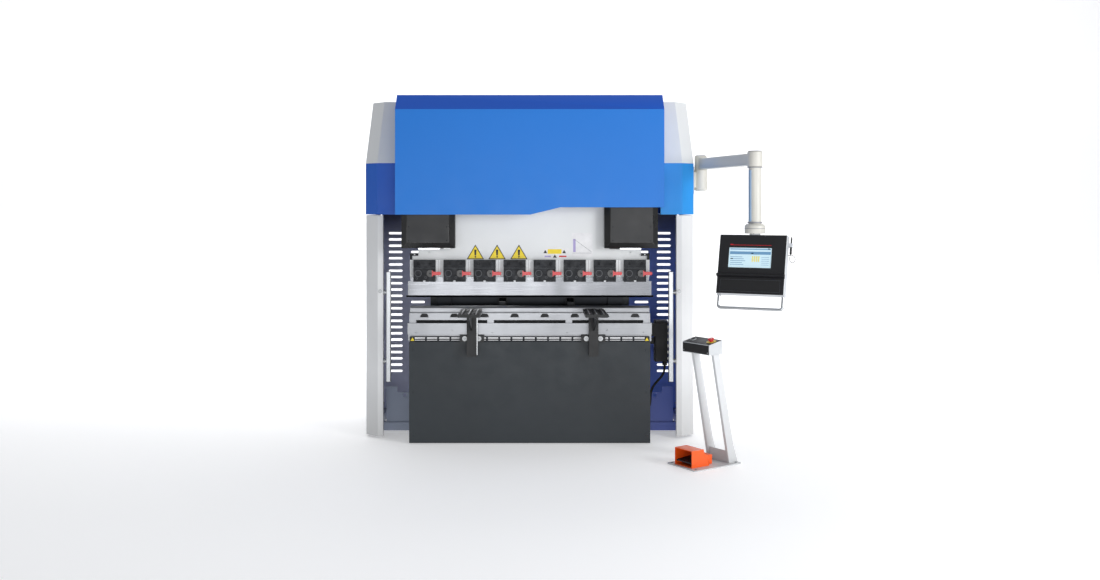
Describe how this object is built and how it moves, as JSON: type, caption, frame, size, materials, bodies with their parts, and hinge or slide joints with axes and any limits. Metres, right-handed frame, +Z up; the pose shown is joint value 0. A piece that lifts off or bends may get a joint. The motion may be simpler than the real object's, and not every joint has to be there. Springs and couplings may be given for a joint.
{
  "type": "press brake",
  "caption": "Hydraulic press brake with a guided ram, clamped punch over a vee die, back gauge, sheet supports, hinged side guards, swinging control pendant and foot-switch stand.",
  "frame": {"origin": "on the floor, at the centre of the four anchor holes", "axes": "+X along the bed to the right, +Y from the front to the rear, +Z up"},
  "size_m": [2.7559, 1.7638, 2.318],
  "materials": {
    "frame_paint": "satin",
    "white_paint": "fine texture",
    "grey_paint": "satin",
    "blue_paint": "gloss",
    "panel_paint": "satin",
    "ground_steel": "ground",
    "black_steel": "satin",
    "barrel_paint": "satin",
    "pipe_steel": "bright",
    "rail_grey": "ground",
    "bar_aluminium": "anodised",
    "lever_red": "moulded",
    "arm_grey": "satin",
    "boom_paint": "satin",
    "housing_black": "fine texture",
    "stand_white": "satin",
    "cord_black": "matt",
    "pen_black": "moulded",
    "stop_red": "moulded",
    "start_grey": "moulded",
    "guard_orange": "gloss"
  },
  "bodies": {
    "frame": {"side_frames": "frame_paint", "foot_plates": "grey_paint", "frame_ties": "frame_paint", "bed_beam": "frame_paint", "die_table": "ground_steel", "crowning_wedges": "black_steel", "die_holder": "ground_steel", "lower_die": "ground_steel", "support_rail": "rail_grey", "cylinder_barrels": "barrel_paint", "cylinder_covers": "black_steel", "ram_guides": "frame_paint", "oil_tank": "grey_paint", "pump_unit": "barrel_paint", "hydraulic_lines": "pipe_steel", "front_hood": "blue_paint", "side_bands": "blue_paint", "upper_side_covers": "white_paint", "slotted_panels": "panel_paint", "wing_base": "grey_paint", "control_cabinet": "grey_paint", "junction_box": "housing_black", "conduit": "cord_black", "backgauge_rails": "barrel_paint", "pendant_bracket": "black_steel"},
    "ram": {"ram_beam": "white_paint", "tool_clamps": "black_steel", "punch": "ground_steel", "piston_rods": "ground_steel", "guide_blocks": "ground_steel"},
    "lever_1": {"clamp_lever_1": "lever_red"},
    "lever_2": {"clamp_lever_2": "lever_red"},
    "lever_3": {"clamp_lever_3": "lever_red"},
    "lever_4": {"clamp_lever_4": "lever_red"},
    "lever_5": {"clamp_lever_5": "lever_red"},
    "lever_6": {"clamp_lever_6": "lever_red"},
    "lever_7": {"clamp_lever_7": "lever_red"},
    "lever_8": {"clamp_lever_8": "lever_red"},
    "gauge_beam": {"backgauge_beam": "rail_grey"},
    "gauge_finger_left": {"finger_left": "black_steel"},
    "gauge_finger_right": {"finger_right": "black_steel"},
    "gauge_screw": {"ball_screw": "ground_steel"},
    "arm_left": {"support_arm_left": "arm_grey"},
    "arm_right": {"support_arm_right": "arm_grey"},
    "door_left": {"side_door_left": "white_paint", "door_handle_left": "bar_aluminium"},
    "door_right": {"side_door_right": "white_paint", "door_handle_right": "bar_aluminium"},
    "cabinet_lid": {"cabinet_door": "grey_paint"},
    "boom": {"pendant_arm": "boom_paint"},
    "control_head": {"pendant_box": "housing_black", "pendant_grip": "bar_aluminium", "stylus": "pen_black", "stylus_cord": "cord_black"},
    "station": {"station_stand": "stand_white", "station_box": "housing_black", "foot_switch": "guard_orange"},
    "stop_button": {"estop_button": "stop_red"},
    "go_button": {"start_button": "start_grey"},
    "pedal": {"foot_pedal": "pen_black"}
  },
  "joints": [
    {"name": "ram_stroke", "type": "slide", "parent": "frame", "child": "ram", "axis": [0, 0, 1], "range_m": [-0.068, 0.07]},
    {"name": "clamp_lever_turn_1", "type": "hinge", "parent": "ram", "child": "lever_1", "pos_m": [-0.66, -0.548, 1.13], "axis": [0, 1, 0], "range_deg": [0, 90]},
    {"name": "clamp_lever_turn_2", "type": "hinge", "parent": "ram", "child": "lever_2", "pos_m": [-0.46, -0.548, 1.13], "axis": [0, 1, 0], "range_deg": [0, 90]},
    {"name": "clamp_lever_turn_3", "type": "hinge", "parent": "ram", "child": "lever_3", "pos_m": [-0.26, -0.548, 1.13], "axis": [0, 1, 0], "range_deg": [0, 90]},
    {"name": "clamp_lever_turn_4", "type": "hinge", "parent": "ram", "child": "lever_4", "pos_m": [-0.06, -0.548, 1.13], "axis": [0, 1, 0], "range_deg": [0, 90]},
    {"name": "clamp_lever_turn_5", "type": "hinge", "parent": "ram", "child": "lever_5", "pos_m": [0.14, -0.548, 1.13], "axis": [0, 1, 0], "range_deg": [0, 90]},
    {"name": "clamp_lever_turn_6", "type": "hinge", "parent": "ram", "child": "lever_6", "pos_m": [0.34, -0.548, 1.13], "axis": [0, 1, 0], "range_deg": [0, 90]},
    {"name": "clamp_lever_turn_7", "type": "hinge", "parent": "ram", "child": "lever_7", "pos_m": [0.54, -0.548, 1.13], "axis": [0, 1, 0], "range_deg": [0, 90]},
    {"name": "clamp_lever_turn_8", "type": "hinge", "parent": "ram", "child": "lever_8", "pos_m": [0.74, -0.548, 1.13], "axis": [0, 1, 0], "range_deg": [0, 90]},
    {"name": "gauge_travel", "type": "slide", "parent": "frame", "child": "gauge_beam", "axis": [0, 1, 0], "range_m": [-0.045, 0.4]},
    {"name": "gauge_screw_turn", "type": "hinge", "parent": "frame", "child": "gauge_screw", "pos_m": [0, -0.23, 0.76], "axis": [0, 1, 0], "range_deg": [-820, 7210]},
    {"name": "finger_left_travel", "type": "slide", "parent": "gauge_beam", "child": "gauge_finger_left", "axis": [1, 0, 0], "range_m": [-0.3, 0.12]},
    {"name": "finger_right_travel", "type": "slide", "parent": "gauge_beam", "child": "gauge_finger_right", "axis": [1, 0, 0], "range_m": [-0.21, 0.21]},
    {"name": "arm_left_travel", "type": "slide", "parent": "frame", "child": "arm_left", "axis": [1, 0, 0], "range_m": [-0.33, 0.29]},
    {"name": "arm_right_travel", "type": "slide", "parent": "frame", "child": "arm_right", "axis": [1, 0, 0], "range_m": [-0.33, 0.29]},
    {"name": "door_right_swing", "type": "hinge", "parent": "frame", "child": "door_right", "pos_m": [1.13, 0.409, 0], "axis": [0, 0, 1], "range_deg": [0, 90]},
    {"name": "door_left_swing", "type": "hinge", "parent": "frame", "child": "door_left", "pos_m": [-1.13, 0.409, 0], "axis": [0, 0, 1], "range_deg": [-90, 0]},
    {"name": "cabinet_door_swing", "type": "hinge", "parent": "frame", "child": "cabinet_lid", "pos_m": [-0.109, 0.404, 0], "axis": [0, 0, 1], "range_deg": [0, 110]},
    {"name": "boom_swing", "type": "hinge", "parent": "frame", "child": "boom", "pos_m": [1.19, -0.198, 1.868], "axis": [0, 0, 1], "range_deg": [-15, 45]},
    {"name": "control_head_swivel", "type": "hinge", "parent": "boom", "child": "control_head", "pos_m": [1.40301, -0.99296, 1.403], "axis": [0, 0, 1], "range_deg": [-90, 90]},
    {"name": "station_shift", "type": "slide", "parent": "frame", "child": "station", "axis": [1, 0, 0], "range_m": [-0.25, 0.25]},
    {"name": "stop_press", "type": "slide", "parent": "station", "child": "stop_button", "axis": [-0.1798, -0.1213, 0.9762], "range_m": [-0.005, 0], "stiffness_N_per_m": 800},
    {"name": "start_press", "type": "slide", "parent": "station", "child": "go_button", "axis": [-0.1798, -0.1213, 0.9762], "range_m": [-0.002, 0], "stiffness_N_per_m": 800},
    {"name": "pedal_press", "type": "hinge", "parent": "station", "child": "pedal", "pos_m": [1.02986, -1.13672, 0.04], "axis": [0.5592, -0.829, 0], "range_deg": [0, 7], "stiffness_Nm_per_rad": 25, "springref_deg": -6.88}
  ],
  "couplings": [
    {"joint": "gauge_screw_turn", "follows": "gauge_travel", "rad_per_m": 314.16}
  ]
}
